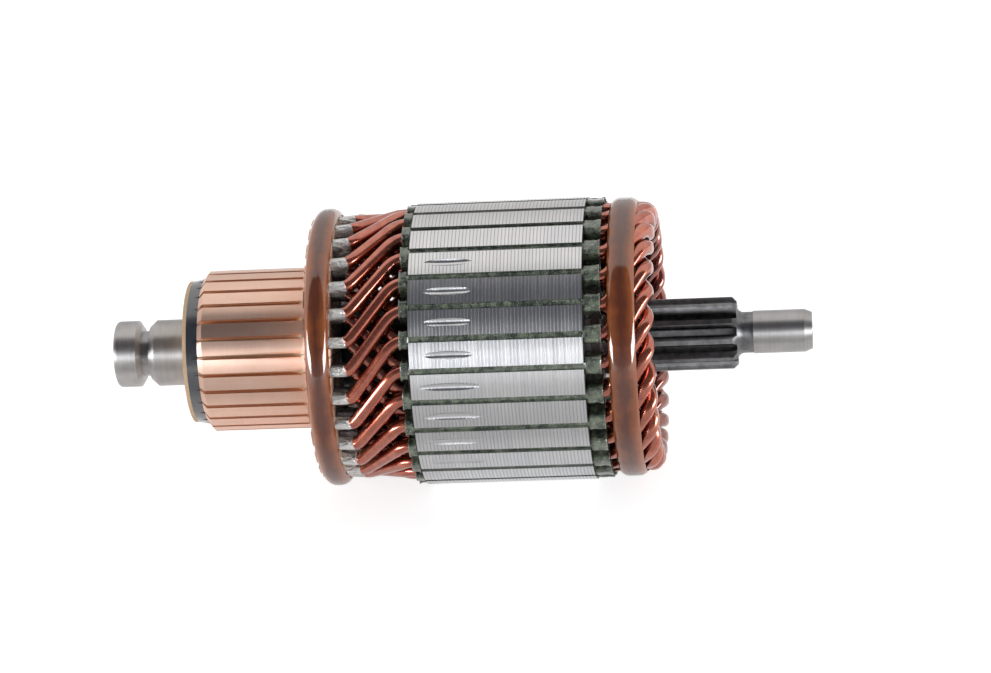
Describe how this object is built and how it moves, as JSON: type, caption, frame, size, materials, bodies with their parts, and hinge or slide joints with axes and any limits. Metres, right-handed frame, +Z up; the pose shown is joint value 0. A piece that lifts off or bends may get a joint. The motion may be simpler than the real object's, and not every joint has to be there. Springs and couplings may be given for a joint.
{
  "type": "motor armature",
  "caption": "Starter-motor rotor with a slotted laminated core, hairpin winding, bar commutator, resin binding bands, and a shaft with a sun gear and pilot.",
  "frame": {"origin": "on the shaft's axis at half of its overall length", "axes": "+X along the shaft from the commutator to the gear; one core slot faces -Y; +Z is up as the object is shown"},
  "size_m": [0.1606, 0.0646, 0.0646],
  "materials": {
    "steel_shaft": "ground, hardened gear teeth",
    "core_steel": "turned edges of stacked laminations",
    "slot_paper": "varnished slot insulation",
    "commutator_copper": "hard-drawn copper, fine turned brush surface",
    "mica": "matt bonded mica",
    "black_moulding": "phenolic moulding, smooth",
    "bush_brass": "plain",
    "fibre": "matt vulcanised fibre",
    "binding_resin": "glossy resin-bound glass tape",
    "enamelled_copper": "dark red enamelled copper, glossy"
  },
  "bodies": {
    "root": {"shaft": "steel_shaft", "core_stack": "core_steel", "slot_liners": "slot_paper", "commutator_bars": "commutator_copper", "mica_separators": "mica", "commutator_hub": "black_moulding", "commutator_bush": "bush_brass", "thrust_washer": "fibre", "commutator_end_band": "binding_resin", "drive_end_band": "binding_resin", "hairpin_01": "enamelled_copper", "hairpin_02": "enamelled_copper", "hairpin_03": "enamelled_copper", "hairpin_04": "enamelled_copper", "hairpin_05": "enamelled_copper", "hairpin_06": "enamelled_copper", "hairpin_07": "enamelled_copper", "hairpin_08": "enamelled_copper", "hairpin_09": "enamelled_copper", "hairpin_10": "enamelled_copper", "hairpin_11": "enamelled_copper", "hairpin_12": "enamelled_copper", "hairpin_13": "enamelled_copper", "hairpin_14": "enamelled_copper", "hairpin_15": "enamelled_copper", "hairpin_16": "enamelled_copper", "hairpin_17": "enamelled_copper", "hairpin_18": "enamelled_copper", "hairpin_19": "enamelled_copper", "hairpin_20": "enamelled_copper", "hairpin_21": "enamelled_copper", "hairpin_22": "enamelled_copper", "hairpin_23": "enamelled_copper", "hairpin_24": "enamelled_copper", "hairpin_25": "enamelled_copper", "hairpin_26": "enamelled_copper", "hairpin_27": "enamelled_copper", "hairpin_28": "enamelled_copper"}
  },
  "joints": []
}
